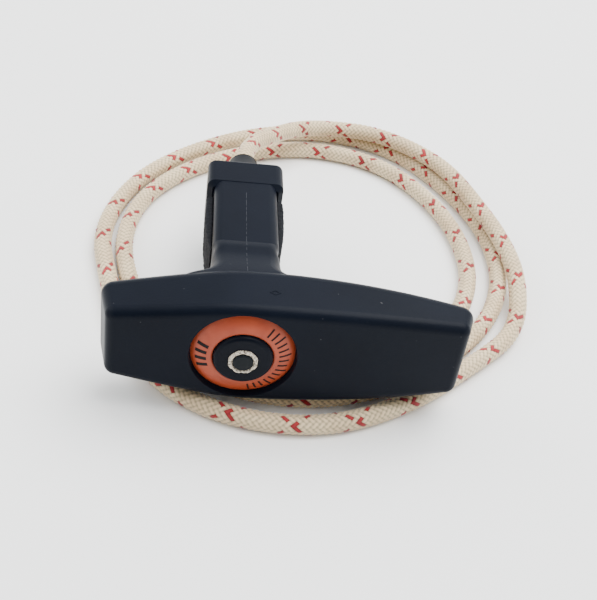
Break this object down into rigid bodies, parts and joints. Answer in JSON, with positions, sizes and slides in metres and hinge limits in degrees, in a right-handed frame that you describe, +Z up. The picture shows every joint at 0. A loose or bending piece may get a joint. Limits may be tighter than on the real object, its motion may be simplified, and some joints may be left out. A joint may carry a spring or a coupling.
{
  "type": "recoil starter pull grip",
  "caption": "T-shaped moulded pull grip with a domed cap ring, a sprung button that holds the rope's end, and a braided rope in loose turns.",
  "frame": {"origin": "on the stem's axis at the shoulder where the nose guide leaves the stem, the middle of the nose seat's base", "axes": "+Y along the stem's axis, the way the rope leaves; +X along the cross bar, towards its longer arm; +Z up, away from the surface that the rope lies on"},
  "size_m": [0.1119, 0.1267, 0.0312],
  "materials": {
    "grip_polymer": "satin black moulded polyamide with fine grain",
    "pad_rubber": "rough black rubber",
    "ring_polymer": "satin terracotta orange",
    "nose_polymer": "satin black",
    "button_polymer": "smooth black, slightly glossy",
    "pin_polymer": "worn dark grey",
    "steel": "zinc-plated flat washer",
    "damper_rubber": "matt elastomer",
    "rope_fibre": "cream braided polyamide with red tracer yarns",
    "melted_fibre": "melted and hardened rope end"
  },
  "bodies": {
    "grip": {"grip_body": "grip_polymer", "side_pad_left": "pad_rubber", "side_pad_right": "pad_rubber", "cap_ring": "ring_polymer", "nose_guide": "nose_polymer", "seat_washer": "steel", "damper_sleeve": "damper_rubber"},
    "rope": {"plunger": "button_polymer", "core_pin": "pin_polymer", "rope_flare": "rope_fibre", "thrust_washer": "steel", "rope_inner": "rope_fibre", "rope_turn_1": "rope_fibre", "rope_turn_2": "rope_fibre", "rope_turn_3": "rope_fibre", "rope_tip": "melted_fibre"}
  },
  "joints": [
    {"name": "damper_slide", "type": "slide", "parent": "grip", "child": "rope", "axis": [0, 1, 0], "range_m": [0, 0.008], "stiffness_N_per_m": 6000, "springref_m": -0.001, "deforming": ["damper_sleeve"]}
  ]
}
